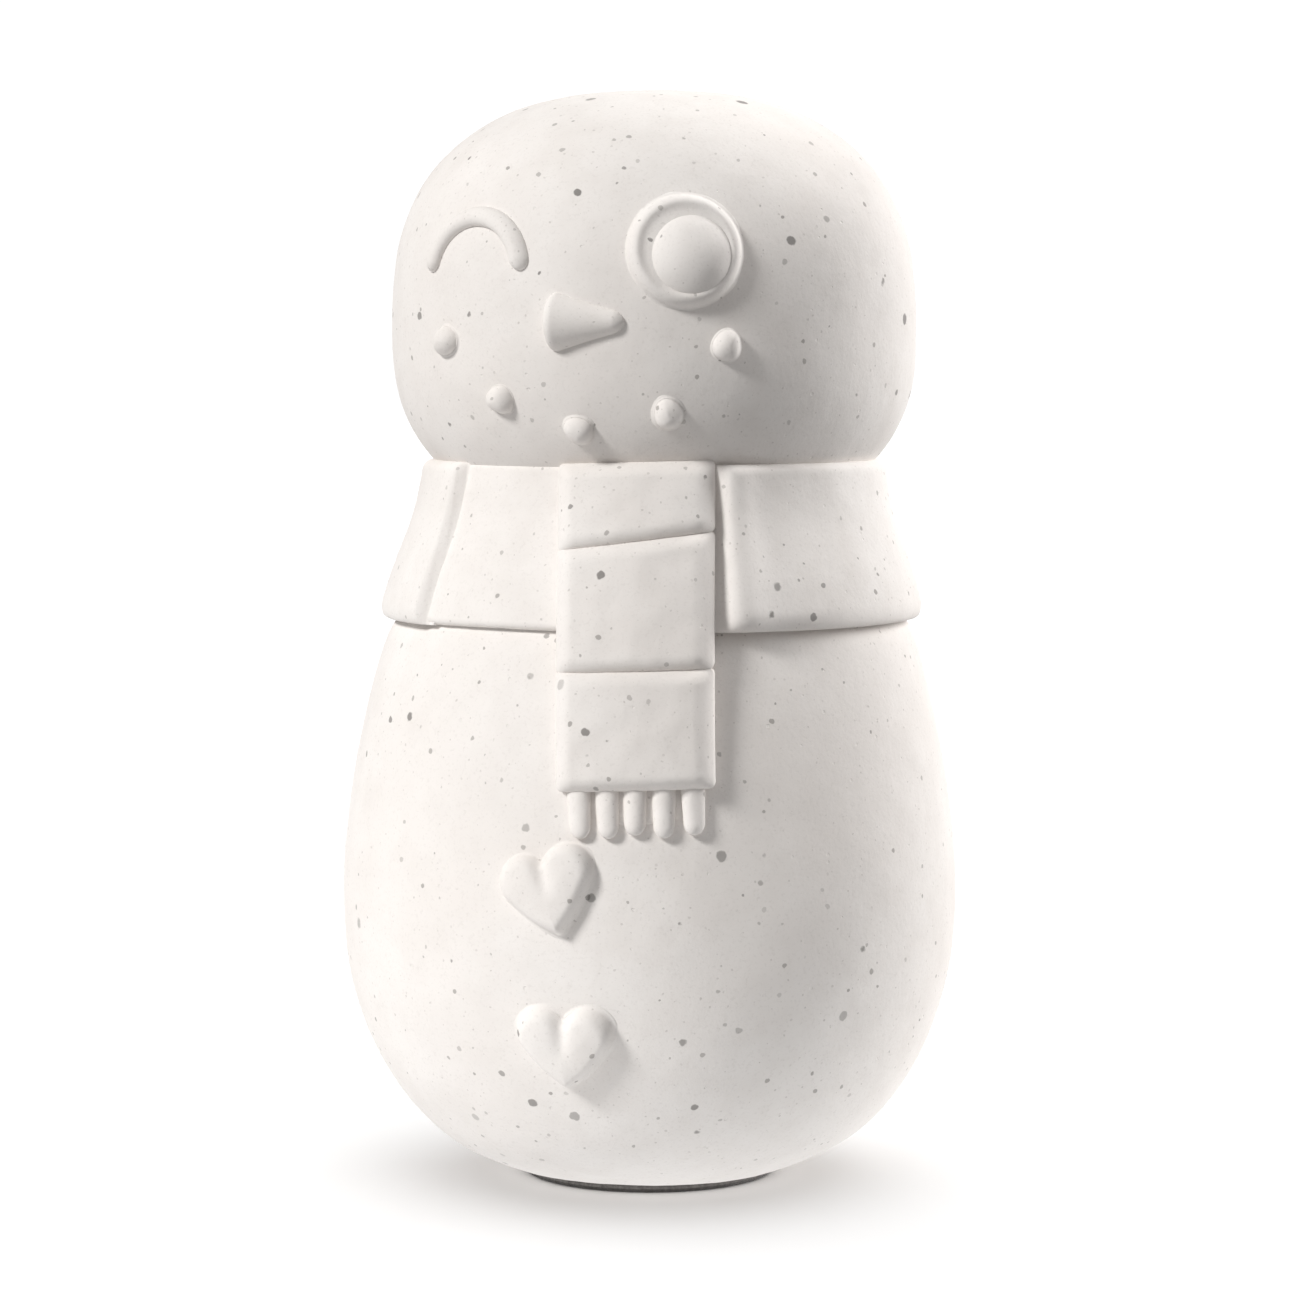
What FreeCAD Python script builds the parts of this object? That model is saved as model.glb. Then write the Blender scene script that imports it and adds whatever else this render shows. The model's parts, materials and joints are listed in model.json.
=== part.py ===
"""Snowman shelf figure: turned body and head, built-up scarf, applied face and heart buttons.

Millimetres, +Z up, front towards -Y. The origin is the centre of the flat face that the figure
stands on. Angles around the axis are measured from the front, positive towards +X.
"""
import FreeCAD, Part
import math
import os

V = FreeCAD.Vector

# ---- driving dimensions -------------------------------------------------------------------
HEIGHT = 140.0            # stand face to crown

PAD_T = 1.0               # felt pad
PAD_R = 16.4

FOOT_R = 17.2             # flat foot of the body
BODY_R = 39.8             # widest radius
BODY_R_Z = 35.0
SHOULDER_R = 33.4         # body under the scarf's hem
SPIGOT_R = 20.0           # turned spigot that carries the scarf ring

HEM_Z = 72.6              # scarf ring, bottom and top
COLLAR_TOP_Z = 92.4
WRAP_T = 1.5              # second turn of the scarf over the ring
WRAP_START = 32.5         # its two ends, degrees
WRAP_END = 323.5
WRAP_EDGE_R = 0.9
WRAP_BEVEL = 50.0         # degrees, the slope of its ends

HEAD_R = 33.8             # head: a rounded barrel, flatter than a ball
HEAD_MID_Z = 109.5
HEAD_UP = HEIGHT - HEAD_MID_Z
HEAD_DOWN = 25.0
HEAD_POWER = 2.56
HEAD_SEAT_Z = 85.0        # flat under the head

NECK_DOWEL_R = 5.0
NECK_DOWEL_L = 34.0
NECK_DOWEL_Z = 68.0
GLUE_GAP = 0.05           # radial, round every dowel and pin
END_GAP = 0.5             # left past a dowel's end for glue

TAIL_PHI = 15.4           # hanging end of the scarf
TAIL_W = 19.2
TAIL_LEAN = 1.6           # degrees, its top leans towards -X
KNOT_TOP_Z = 93.2
KNOT_BOTTOM_Z = 83.7      # on the tail's centre line
KNOT_SLOPE = 7.0          # degrees, lower towards -X
TAIL_SPLIT_Z = 68.2
TAIL_END_Z = 54.0
TAIL_EDGE_R = 1.1

FRINGE_END_Z = 48.3
FRINGE_COUNT = 5
FRINGE_W = 2.8
FRINGE_GAP = 0.65
FRINGE_INSET = 1.3        # from the tail's +X edge
FRINGE_TONGUE_T = 1.3     # tongue behind the lower tail panel
FRINGE_TONGUE_H = 3.0

PIN_R = 1.5               # birch pins behind the tail panels and the hearts
PIN_L = 10.0
PIN_IN_BODY = 8.6

SEAT = 0.8                # applied pieces are let in this deep
NOSE_PHI = 4.3            # the carrot lies on the face, its point towards +X
NOSE_Z = 110.3
NOSE_L = 9.6
NOSE_R = 4.1
NOSE_TIP_R = 1.0
NOSE_BUTT_R = 1.4         # rounding of the thick end
NOSE_SUNK = 0.8           # thick end's axis below the face
NOSE_RISE = 7.0           # degrees, the point lifts off the face
NOSE_TENON_R = 1.75
NOSE_TENON_L = 8.0

EYE_PHI = 24.8
EYE_Z = 118.9
EYE_R = 7.0
EYE_PROUD = 1.6
EYE_EDGE_R = 0.9
PUPIL_R = 5.0
PUPIL_PROUD = 3.2
PUPIL_EDGE_R = 1.3
PUPIL_SHIFT_X = 0.9       # from the disc's centre
PUPIL_SHIFT_Y = -0.8

WINK_PHI = -23.8
WINK_Z = 117.6
WINK_W = 16.8
WINK_H = 6.8
WINK_BAR = 1.9
WINK_PROUD = 1.3
WINK_EDGE_R = 0.6

COAL_R = 1.9
COAL_TENON_R = 0.7
COAL_TENON_L = 4.0
COALS = ((-30.7, 108.0), (-16.2, 100.9), (1.6, 97.2), (21.5, 99.2), (33.4, 107.4))

HEART_W = 12.3
HEART_H = 10.8
HEART_LOBE_R = 3.3
HEART_PROUD = 2.4
HEART_SEAT = 1.3          # flat back, below the belly at the heart's middle
HEART_EDGE_R = 1.0
HEART_TIP_R = 1.4
HEART_DIP_R = 0.6
HEARTS = (("upper", 1.0, 41.4, 16.0), ("lower", 3.0, 22.2, 0.0))   # angle, height, turn

FAR = 60.0                # outside every surface


# ---- outlines of the turned pieces --------------------------------------------------------
def spline(points, start=None, end=None):
    """A smooth edge in the XZ plane through (radius, height) points."""
    curve = Part.BSplineCurve()
    at = [V(r, 0, z) for r, z in points]
    if start:
        curve.interpolate(Points=at, InitialTangent=V(start[0], 0, start[1]),
                          FinalTangent=V(end[0], 0, end[1]))
    else:
        curve.interpolate(Points=at)
    return curve.toShape()


def body_outline(grow=0.0):
    """Pear outline from the foot to the shoulder."""
    points = [(FOOT_R, PAD_T), (26.8, 5.4), (33.4, 12.6), (37.6, 21.5), (BODY_R, BODY_R_Z),
              (38.75, 50.0), (36.5, 62.0), (SHOULDER_R, HEM_Z)]
    return spline([(r + grow, z) for r, z in points])


def head_outline(grow=0.0):
    """Superellipse from the crown round to the underside."""
    steps = 18
    points = []
    for i in range(steps + 1):
        t = math.radians(90.0 - 180.0 * i / steps)
        up = HEAD_UP if t > 0 else HEAD_DOWN
        r = (HEAD_R + grow) * abs(math.cos(t)) ** (2.0 / HEAD_POWER)
        z = (up + grow) * abs(math.sin(t)) ** (2.0 / HEAD_POWER) * (1 if t > 0 else -1)
        points.append((r, HEAD_MID_Z + z))
    points[0] = (0.0, HEAD_MID_Z + HEAD_UP + grow)
    points[-1] = (0.0, HEAD_MID_Z - HEAD_DOWN - grow)
    return spline(points, start=(1, 0), end=(-1, 0))


def collar_outline(grow=0.0):
    """Flared side of the scarf ring, from the hem up."""
    points = [(33.9, HEM_Z), (32.3, 78.4), (30.8, 82.6), (29.4, 87.0), (28.4, COLLAR_TOP_Z)]
    return spline([(r + grow, z) for r, z in points])


def tail_outline(grow=0.0):
    """Front of the hanging end, where it drapes from the neck over the hem to the belly."""
    points = [(30.7, KNOT_TOP_Z), (33.8, 84.6), (37.6, HEM_Z), (39.8, 62.0), (42.0, FRINGE_END_Z)]
    return spline([(r + grow, z) for r, z in points])


def turned(outline, inner_r=0.0):
    """Solid of revolution between an outline and the axis, or a bore of radius inner_r."""
    a = outline.valueAt(outline.FirstParameter)
    b = outline.valueAt(outline.LastParameter)
    corners = [b, V(inner_r, 0, b.z), V(inner_r, 0, a.z), a]
    edges = [outline]
    for p, q in zip(corners, corners[1:]):
        if p.distanceToPoint(q) > 1e-6:
            edges.append(Part.makeLine(p, q))
    face = Part.Face(Part.Wire(edges))
    return face.revolve(V(0, 0, 0), V(0, 0, 1), 360)


def layer(inner, outer, start, sweep):
    """Solid of revolution between two outlines that end at matching heights or on the axis."""
    edges = [inner, outer]
    for end in ("FirstParameter", "LastParameter"):
        edges.append(Part.makeLine(inner.valueAt(getattr(inner, end)),
                                   outer.valueAt(getattr(outer, end))))
    section = Part.Face(Part.Wire(Part.__sortEdges__(edges)))
    section.rotate(V(0, 0, 0), V(0, 0, 1), start - 90)
    return section.revolve(V(0, 0, 0), V(0, 0, 1), sweep)


def point_on(outline, z):
    """Radius of a turned surface at a height, and how far its normal tips up in degrees."""
    level = Part.makeLine(V(0, 0, z), V(FAR, 0, z))
    hit = outline.distToShape(level)[1][0][0]
    slope = outline.Curve.tangent(outline.Curve.parameter(hit))[0]
    if slope.z > 0:
        slope = slope * -1
    return hit.x, math.degrees(math.atan2(slope.x, -slope.z))


def stand_on(shape, outline, phi, z):
    """Move a shape drawn in XY, with +Z outward, onto a turned surface."""
    radius, tip = point_on(outline, z)
    moved = shape.copy()
    moved.rotate(V(0, 0, 0), V(1, 0, 0), 90 - tip)
    moved.translate(V(0, -radius, z))
    moved.rotate(V(0, 0, 0), V(0, 0, 1), phi)
    return moved


def rounded(shape, skin, radius):
    """Round the edges that lie on an outer surface."""
    edges = []
    for edge in shape.Edges:
        middle = edge.valueAt((edge.FirstParameter + edge.LastParameter) / 2)
        if skin.distToShape(Part.Vertex(middle))[0] < 0.01:
            edges.append(edge)
    return shape.makeFillet(radius, edges)


def skin_of(outline):
    return outline.revolve(V(0, 0, 0), V(0, 0, 1), 360)


def rod(radius, length, outline, phi, z, depth):
    """Round pin square to a surface, with its inner end at a depth below it."""
    pin = Part.makeCylinder(radius, length, V(0, 0, -depth))
    return stand_on(pin, outline, phi, z)


# ---- drawn shapes -------------------------------------------------------------------------
def heart_block():
    """Flat-backed heart from two lobes and two straight flanks, its point, dip and face softened."""
    lobe_x = HEART_W / 2 - HEART_LOBE_R
    lobe_y = HEART_H / 2 - HEART_LOBE_R
    tip = V(0, -HEART_H / 2, 0)
    centre = V(lobe_x, lobe_y, 0)
    reach = (centre - tip).Length
    lean = math.atan2(lobe_x, lobe_y - tip.y)
    side = lean + math.asin(HEART_LOBE_R / reach)
    run = math.sqrt(reach ** 2 - HEART_LOBE_R ** 2)
    flank = tip + V(math.sin(side), math.cos(side), 0) * run
    dip = V(0, lobe_y + math.sqrt(HEART_LOBE_R ** 2 - lobe_x ** 2), 0)
    crest = centre + V(math.sin(0.5), math.cos(0.5), 0) * HEART_LOBE_R

    def mirror(p):
        return V(-p.x, p.y, 0)

    edges = [
        Part.makeLine(tip, flank),
        Part.Arc(flank, crest, dip).toShape(),
        Part.Arc(dip, mirror(crest), mirror(flank)).toShape(),
        Part.makeLine(mirror(flank), tip),
    ]
    block = Part.Face(Part.Wire(edges)).extrude(V(0, 0, HEART_SEAT + HEART_PROUD))
    block.translate(V(0, 0, -HEART_SEAT))
    uprights = [e for e in block.Edges
                if abs(e.tangentAt(e.FirstParameter).z) > 0.99 and abs(e.Vertexes[0].X) < 0.01]
    point = [e for e in uprights if e.Vertexes[0].Y < 0]
    notch = [e for e in uprights if e.Vertexes[0].Y > 0]
    block = block.makeFillet(HEART_TIP_R, point).makeFillet(HEART_DIP_R, notch)
    face_edges = [e for e in block.Edges
                  if all(abs(v.Z - HEART_PROUD) < 0.01 for v in e.Vertexes)]
    return block.makeFillet(HEART_EDGE_R, face_edges)


def wink_prism():
    """Bar bent into an arch, with round ends."""
    outer_x = WINK_W / 2
    mid_x = outer_x - WINK_BAR / 2
    mid_y = WINK_H - WINK_BAR / 2
    bow_r = (mid_x ** 2 + mid_y ** 2) / (2 * mid_y)
    centre_y = mid_y - bow_r
    half = math.atan2(mid_x, -centre_y) if centre_y < 0 else math.pi - math.atan2(mid_x, centre_y)

    def at(radius, angle):
        return V(radius * math.sin(angle), centre_y + radius * math.cos(angle), 0)

    big = bow_r + WINK_BAR / 2
    small = bow_r - WINK_BAR / 2
    past = WINK_BAR / 2 / bow_r
    edges = [
        Part.Arc(at(big, -half), at(big, 0), at(big, half)).toShape(),
        Part.Arc(at(big, half), at(bow_r, half + past), at(small, half)).toShape(),
        Part.Arc(at(small, half), at(small, 0), at(small, -half)).toShape(),
        Part.Arc(at(small, -half), at(bow_r, -half - past), at(big, -half)).toShape(),
    ]
    prism = Part.Face(Part.Wire(edges)).extrude(V(0, 0, 12))
    prism.translate(V(0, 0, -6))
    return prism


def on_tail(block):
    """Lean a block about the panels' joint and turn it onto the tail's line."""
    block.rotate(V(0, 0, TAIL_SPLIT_Z), V(0, 1, 0), -TAIL_LEAN)
    block.rotate(V(0, 0, 0), V(0, 0, 1), TAIL_PHI)
    return block


def tail_block(low_z, high_z, left=-TAIL_W / 2, right=TAIL_W / 2):
    """Straight-sided block of space on the tail's line, from behind the neck to the front."""
    return on_tail(Part.makeBox(right - left, FAR, high_z - low_z, V(left, -FAR, low_z)))


def above_knot_line():
    """Space above the sloping line where the knot meets the upper panel."""
    block = Part.makeBox(2 * FAR, 2 * FAR, FAR, V(-FAR, -FAR, 0))
    block.rotate(V(0, 0, 0), V(0, 1, 0), TAIL_LEAN - KNOT_SLOPE)
    block.translate(V(0, 0, KNOT_BOTTOM_Z))
    return on_tail(block)


# ---- turned pieces ------------------------------------------------------------------------
def make_head():
    head = turned(head_outline())
    below = Part.makeBox(2 * FAR, 2 * FAR, FAR, V(-FAR, -FAR, HEAD_SEAT_Z - FAR))
    return head.cut(below)


def make_body(head):
    pear = turned(body_outline())
    spigot = Part.makeCylinder(SPIGOT_R, 88.0 - HEM_Z, V(0, 0, HEM_Z))
    return pear.fuse(spigot).removeSplitter().cut(head)


def make_collar(head):
    ring = turned(collar_outline(), SPIGOT_R)
    hem = [e for e in ring.Edges if e.Curve.TypeId == "Part::GeomCircle"
           and abs(e.Vertexes[0].Z - HEM_Z) < 0.01 and e.Curve.Radius > SPIGOT_R + 1]
    ring = ring.makeFillet(0.8, hem)
    return ring.cut(head)


def make_wrap():
    """Second turn of the scarf: a band round the back of the ring, with its edges softened."""
    outer = collar_outline(WRAP_T)
    band = layer(collar_outline(), outer, WRAP_START, WRAP_END - WRAP_START)
    face_r = [outer.valueAt(outer.FirstParameter).x, outer.valueAt(outer.LastParameter).x]
    rims = [e for e in band.Edges if e.Curve.TypeId == "Part::GeomCircle"
            and min(abs(e.Curve.Radius - r) for r in face_r) < 0.01]
    band = band.makeFillet(WRAP_EDGE_R, rims)
    return band.cut(end_bevel(WRAP_START, 1)).cut(end_bevel(WRAP_END, -1))


def end_bevel(phi, side):
    """Space past a band's end, leaning over the band as it leaves the neck."""
    foot_r = 28.0
    reach = 20.0
    block = Part.makeBox(reach, reach, 2 * reach, V(-reach if side > 0 else 0, -reach, HEM_Z - 5))
    block.rotate(V(0, 0, 0), V(0, 0, 1), side * WRAP_BEVEL)
    block.translate(V(0, -foot_r, 0))
    block.rotate(V(0, 0, 0), V(0, 0, 1), phi)
    return block


def make_neck_dowel():
    dowel = Part.makeCylinder(NECK_DOWEL_R, NECK_DOWEL_L, V(0, 0, NECK_DOWEL_Z))
    return dowel.makeChamfer(0.6, dowel.Edges)


def neck_bore():
    return Part.makeCylinder(NECK_DOWEL_R + GLUE_GAP, NECK_DOWEL_L + 2 * END_GAP,
                             V(0, 0, NECK_DOWEL_Z - END_GAP))


def make_pad():
    return Part.makeCylinder(PAD_R, PAD_T)


# ---- scarf end ----------------------------------------------------------------------------
def tail_space(behind):
    """Everything between the neck and the tail's front, less what the tail hangs over."""
    space = turned(tail_outline(), 10.0)
    for piece in behind:
        space = space.cut(piece)
    return space


def make_tail(space):
    """Knot, upper and lower panels and the fringe, each with softened front edges."""
    front = skin_of(tail_outline())
    above = above_knot_line()
    top = space.common(tail_block(TAIL_SPLIT_Z, KNOT_TOP_Z))
    knot = rounded(top.common(above), front, TAIL_EDGE_R)
    upper = rounded(top.cut(above), front, TAIL_EDGE_R)
    lower = rounded(space.common(tail_block(TAIL_END_Z, TAIL_SPLIT_Z)), front, TAIL_EDGE_R)
    return knot, upper, lower


def make_fringe(body):
    """Comb of tassels whose tongue is let in behind the lower panel."""
    pitch = FRINGE_W + FRINGE_GAP
    right = TAIL_W / 2 - FRINGE_INSET
    left = right - FRINGE_COUNT * pitch + FRINGE_GAP
    tassel_skin = tail_outline(-0.5)
    space = turned(tassel_skin, 10.0).cut(body)
    comb = space.common(tail_block(FRINGE_END_Z, TAIL_END_Z, left, right))
    comb = rounded(comb, skin_of(tassel_skin), 0.6)
    for i in range(FRINGE_COUNT - 1):
        slot_x = left + (i + 1) * pitch - FRINGE_GAP
        slot = tail_block(FRINGE_END_Z - 1, TAIL_END_Z - 0.9, slot_x, slot_x + FRINGE_GAP)
        comb = comb.cut(slot)
    tongue = turned(body_outline(FRINGE_TONGUE_T)).cut(body)
    tongue = tongue.common(tail_block(TAIL_END_Z, TAIL_END_Z + FRINGE_TONGUE_H, left, right))
    return comb.fuse(tongue).removeSplitter()


# ---- face ---------------------------------------------------------------------------------
def make_nose(head_side):
    """Carrot lying on the face, half sunk, with a tenon behind its thick end."""
    taper = math.asin((NOSE_R - NOSE_TIP_R) / NOSE_L)
    ball = NOSE_L - NOSE_TIP_R
    touch = V(ball + NOSE_TIP_R * math.sin(taper), NOSE_TIP_R * math.cos(taper), 0)
    quarter = math.radians(45)
    corner = NOSE_BUTT_R * (1 - math.sin(quarter))
    edges = [
        Part.makeLine(V(0, 0, 0), V(0, NOSE_R - NOSE_BUTT_R, 0)),
        Part.Arc(V(0, NOSE_R - NOSE_BUTT_R, 0), V(corner, NOSE_R - corner, 0),
                 V(NOSE_BUTT_R, NOSE_R, 0)).toShape(),
        Part.makeLine(V(NOSE_BUTT_R, NOSE_R, 0), touch),
        Part.Arc(touch, V(ball + NOSE_TIP_R * math.cos(quarter / 2),
                          NOSE_TIP_R * math.sin(quarter / 2), 0), V(NOSE_L, 0, 0)).toShape(),
        Part.makeLine(V(NOSE_L, 0, 0), V(0, 0, 0)),
    ]
    carrot = Part.Face(Part.Wire(edges)).revolve(V(0, 0, 0), V(1, 0, 0), 360)
    carrot.rotate(V(0, 0, 0), V(0, 1, 0), -NOSE_RISE)
    carrot.translate(V(-NOSE_L / 2, 0, -NOSE_SUNK))
    tenon = Part.makeCylinder(NOSE_TENON_R, NOSE_TENON_L,
                              V(NOSE_R - NOSE_L / 2, 0, -NOSE_SUNK - NOSE_TENON_L))
    return stand_on(carrot.fuse(tenon).removeSplitter(), head_side, NOSE_PHI, NOSE_Z)


def make_coal(head_side, phi, z):
    """Pebble with a slim tenon."""
    pebble = Part.makeSphere(COAL_R, V(0, 0, 0))
    tenon = Part.makeCylinder(COAL_TENON_R, COAL_TENON_L, V(0, 0, -COAL_R - COAL_TENON_L + 0.5))
    return stand_on(pebble.fuse(tenon).removeSplitter(), head_side, phi, z)


def let_in(prism, phi, inner, outer, edge_r):
    """Piece between a seat cut into a surface and a skin standing proud of it."""
    half = 45.0
    return rounded(prism.common(layer(inner, outer, phi - half, 2 * half)), skin_of(outer), edge_r)


def make_wink(head_side):
    prism = stand_on(wink_prism(), head_side, WINK_PHI, WINK_Z)
    return let_in(prism, WINK_PHI, head_outline(-SEAT), head_outline(WINK_PROUD), WINK_EDGE_R)


def make_eye_disc(head_side):
    prism = Part.makeCylinder(EYE_R, 12, V(0, 0, -6))
    prism = stand_on(prism, head_side, EYE_PHI, EYE_Z)
    return let_in(prism, EYE_PHI, head_outline(-SEAT), head_outline(EYE_PROUD), EYE_EDGE_R)


def make_pupil(head_side):
    """Button let into the eye disc, a little low and outward of its centre."""
    prism = Part.makeCylinder(PUPIL_R, 12, V(PUPIL_SHIFT_X, PUPIL_SHIFT_Y, -6))
    prism = stand_on(prism, head_side, EYE_PHI, EYE_Z)
    seat = head_outline(EYE_PROUD - SEAT)
    return let_in(prism, EYE_PHI, seat, head_outline(PUPIL_PROUD), PUPIL_EDGE_R)


# ---- hearts -------------------------------------------------------------------------------
def make_heart(body_side, phi, z, turn):
    heart = heart_block()
    heart.rotate(V(0, 0, 0), V(0, 0, 1), turn)
    return stand_on(heart, body_side, phi, z)


# ---- assembly -----------------------------------------------------------------------------
def build():
    head = make_head()
    body = make_body(head)
    collar = make_collar(head)
    wrap = make_wrap()
    head_side = head_outline()
    body_side = body_outline()

    knot, tail_upper, tail_lower = make_tail(tail_space([head, body, collar, wrap]))
    fringe = make_fringe(body)
    tail_lower = tail_lower.cut(fringe)

    hearts = {name: make_heart(body_side, phi, z, turn) for name, phi, z, turn in HEARTS}
    wink = make_wink(head_side)
    disc = make_eye_disc(head_side)
    pupil = make_pupil(head_side)
    disc = disc.cut(pupil)
    nose = make_nose(head_side)
    coals = [make_coal(head_side, phi, z) for phi, z in COALS]

    def pins(places, radius, extra):
        return [rod(radius, PIN_L + extra, body_side, phi, z, PIN_IN_BODY + extra)
                for phi, z in places]

    def join(solids):
        return Part.makeCompound(solids)

    heart_places = [(phi, z) for name, phi, z, turn in HEARTS]
    heart_pins = pins(heart_places, PIN_R, 0.0)
    heart_bores = pins(heart_places, PIN_R + GLUE_GAP, END_GAP)
    tail_places = [(TAIL_PHI, TAIL_SPLIT_Z - 6.0)]
    tail_pins = pins(tail_places, PIN_R, 0.0)
    tail_bores = pins(tail_places, PIN_R + GLUE_GAP, END_GAP)
    ring_side = collar_outline()
    for z in (KNOT_BOTTOM_Z + 3.6, HEM_Z + 5.0):
        tail_pins.append(rod(PIN_R, PIN_L, ring_side, TAIL_PHI, z, PIN_IN_BODY))
        tail_bores.append(rod(PIN_R + GLUE_GAP, PIN_L + END_GAP, ring_side, TAIL_PHI, z,
                              PIN_IN_BODY + END_GAP))

    for heart in hearts:
        hearts[heart] = hearts[heart].cut(join(heart_bores))
    body = body.cut(join([hearts["upper"], hearts["lower"]] + heart_bores))
    for bore in tail_bores:
        knot = knot.cut(bore)
        tail_upper = tail_upper.cut(bore)
        tail_lower = tail_lower.cut(bore)
        collar = collar.cut(bore)
        body = body.cut(bore)
    body = body.cut(neck_bore())
    head = head.cut(neck_bore())
    for piece in [wink, disc, pupil, nose] + coals:
        head = head.cut(piece)

    nodes = {
        "body": body,
        "head": head,
        "neck_dowel": make_neck_dowel(),
        "base_pad": make_pad(),
        "scarf_collar": collar,
        "scarf_wrap": wrap,
        "scarf_knot": knot,
        "scarf_tail_upper": tail_upper,
        "scarf_tail_lower": tail_lower,
        "scarf_fringe": fringe,
        "tail_pins": join(tail_pins),
        "nose": nose,
        "wink_eye": wink,
        "open_eye_disc": disc,
        "open_eye_pupil": pupil,
        "heart_button_upper": hearts["upper"],
        "heart_button_lower": hearts["lower"],
        "heart_pins": join(heart_pins),
    }
    for number, coal in enumerate(coals, 1):
        nodes[f"mouth_coal_{number}"] = coal
    return nodes


def main():
    os.makedirs("parts", exist_ok=True)
    for name, shape in build().items():
        shape.exportStep(f"parts/{name}.step")
        print(f"{name}: {len(shape.Solids)} solid(s), {shape.Volume:.1f} mm3, valid {shape.isValid()}")


main()
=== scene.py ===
"""Looks of the snowman shelf figure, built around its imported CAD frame. Metres, +Z up, front -Y."""

import json
import math

import bmesh
import bpy
import numpy as np
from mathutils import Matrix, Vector, noise

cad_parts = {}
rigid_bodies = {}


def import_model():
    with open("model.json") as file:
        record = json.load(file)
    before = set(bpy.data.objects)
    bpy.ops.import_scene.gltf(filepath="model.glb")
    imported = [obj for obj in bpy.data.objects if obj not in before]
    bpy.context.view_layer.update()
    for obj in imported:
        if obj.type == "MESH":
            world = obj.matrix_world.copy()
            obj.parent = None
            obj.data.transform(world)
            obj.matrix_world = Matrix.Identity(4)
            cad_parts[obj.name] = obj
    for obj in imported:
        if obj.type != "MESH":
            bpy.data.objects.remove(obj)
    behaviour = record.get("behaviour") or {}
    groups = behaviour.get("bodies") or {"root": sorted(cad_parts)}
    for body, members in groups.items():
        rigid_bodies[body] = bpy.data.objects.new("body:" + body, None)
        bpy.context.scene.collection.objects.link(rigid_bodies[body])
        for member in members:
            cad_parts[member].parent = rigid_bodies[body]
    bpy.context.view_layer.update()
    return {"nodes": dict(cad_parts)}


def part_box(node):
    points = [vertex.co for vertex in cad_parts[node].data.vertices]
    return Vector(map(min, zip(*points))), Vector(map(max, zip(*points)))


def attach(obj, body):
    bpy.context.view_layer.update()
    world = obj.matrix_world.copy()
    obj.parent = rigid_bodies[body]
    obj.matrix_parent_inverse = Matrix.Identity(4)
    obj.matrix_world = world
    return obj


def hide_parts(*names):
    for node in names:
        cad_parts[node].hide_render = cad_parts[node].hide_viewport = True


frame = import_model()

MM = 0.001

# ---- the turned surfaces, in millimetres ---------------------------------------------------
HEAD_R, HEAD_MID_Z, HEAD_UP, HEAD_DOWN, HEAD_POWER = 33.8, 109.5, 30.5, 25.0, 2.56
BODY_POINTS = ((17.2, 1.0), (26.8, 5.4), (33.4, 12.6), (37.6, 21.5), (39.8, 35.0), (38.75, 50.0),
               (36.5, 62.0), (33.4, 72.6))
COLLAR_POINTS = ((33.9, 72.6), (32.3, 78.4), (30.8, 82.6), (29.4, 87.0), (28.4, 92.4))
TAIL_POINTS = ((30.7, 93.2), (33.8, 84.6), (37.6, 72.6), (39.8, 62.0), (42.0, 48.3))


def smooth_curve(points, count=400):
    """Points along a natural cubic spline, spaced by chord length."""
    p = np.array(points, float)
    t = np.concatenate([[0], np.cumsum(np.linalg.norm(np.diff(p, axis=0), axis=1))])
    h = np.diff(t)
    n = len(t)
    a = np.eye(n)
    b = np.zeros((n, 2))
    for i in range(1, n - 1):
        a[i, i - 1:i + 2] = h[i - 1], 2 * (h[i - 1] + h[i]), h[i]
        b[i] = 6 * ((p[i + 1] - p[i]) / h[i] - (p[i] - p[i - 1]) / h[i - 1])
    m = np.linalg.solve(a, b)
    s = np.linspace(0, t[-1], count)
    k = np.clip(np.searchsorted(t, s, side="right") - 1, 0, n - 2)
    lo, hi, w = (t[k + 1] - s)[:, None], (s - t[k])[:, None], h[k][:, None]
    return (m[k] * lo ** 3 / (6 * w) + m[k + 1] * hi ** 3 / (6 * w)
            + (p[k] / w - m[k] * w / 6) * lo + (p[k + 1] / w - m[k + 1] * w / 6) * hi)


BODY_CURVE = smooth_curve(BODY_POINTS)
COLLAR_CURVE = smooth_curve(COLLAR_POINTS)
TAIL_CURVE = smooth_curve(TAIL_POINTS)


def body_radius(z):
    return np.interp(z, BODY_CURVE[:, 1], BODY_CURVE[:, 0])


def collar_radius(z):
    return np.interp(z, COLLAR_CURVE[:, 1], COLLAR_CURVE[:, 0])


def tail_radius(z):
    return np.interp(z, TAIL_CURVE[::-1, 1], TAIL_CURVE[::-1, 0])


def head_radius(z):
    reach = np.where(np.asarray(z) > HEAD_MID_Z, HEAD_UP, HEAD_DOWN)
    part = np.clip(np.abs((z - HEAD_MID_Z) / reach), 0, 1)
    return HEAD_R * (1 - part ** HEAD_POWER) ** (1 / HEAD_POWER)


# ---- mesh building -------------------------------------------------------------------------
LEAN = 0.6              # how far the head ends up off the axis, to the viewer's right
LEAN_PHI = 18.5         # the way it drifts, in degrees round from +X
LEAN_FROM_Z, LEAN_RISE = 56.0, 40.0


def leaning(points):
    """The upper half drifts a little sideways, as in a hand-stacked figure."""
    points = np.array(points, float)
    rise = np.clip((points[:, 2] - LEAN_FROM_Z) / LEAN_RISE, 0, 1)
    drift = LEAN * rise * rise * (3 - 2 * rise)
    points[:, 0] += drift * math.cos(math.radians(LEAN_PHI))
    points[:, 1] += drift * math.sin(math.radians(LEAN_PHI))
    return points


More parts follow.
